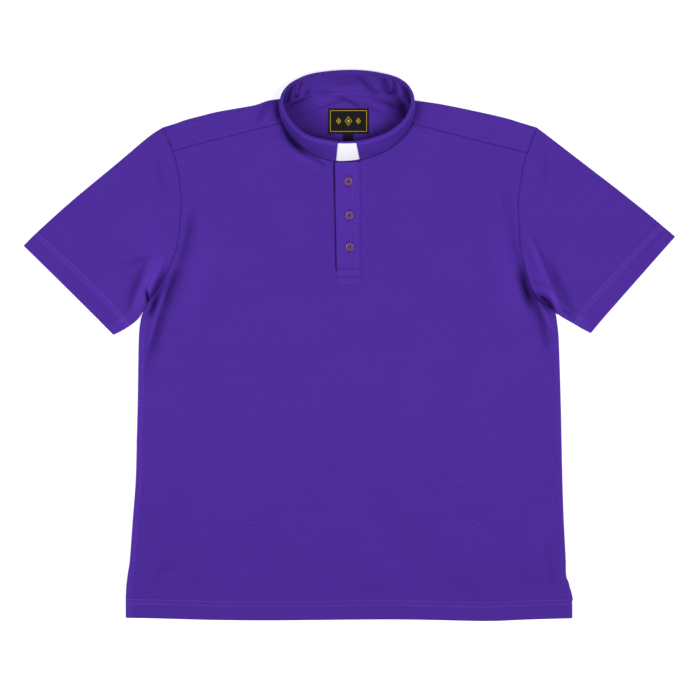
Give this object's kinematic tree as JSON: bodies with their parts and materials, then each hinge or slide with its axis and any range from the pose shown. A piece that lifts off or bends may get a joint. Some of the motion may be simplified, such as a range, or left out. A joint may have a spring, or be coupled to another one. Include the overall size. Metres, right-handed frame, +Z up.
{
  "type": "clergy polo shirt",
  "caption": "Short-sleeved polo shirt laid flat, with a stand collar, a white collar tab, a shoulder yoke and a buttoned placket.",
  "frame": {"origin": "centre of the shirt's outline on the surface it lies on", "axes": "+X across the chest to the right as the front is looked at, +Y from the hem to the collar, +Z up from the surface"},
  "size_m": [0.924, 0.7792, 0.0404],
  "materials": {
    "body_knit": "fine purple knit, matt",
    "collar_knit": "purple knit over a stiffener, matt",
    "tab": "white, smooth, satin",
    "buttons": "mauve, moulded, polished",
    "label": "black woven ribbon"
  },
  "bodies": {
    "root": {"front": "body_knit", "back": "body_knit", "yoke": "body_knit", "sleeve_left": "body_knit", "sleeve_right": "body_knit", "placket_upper": "body_knit", "placket_under": "body_knit", "collar_outer": "collar_knit", "collar_inner": "collar_knit", "collar_tab": "tab", "button_1": "buttons", "button_2": "buttons", "button_3": "buttons", "neck_label": "label", "size_tab": "label"}
  },
  "joints": []
}
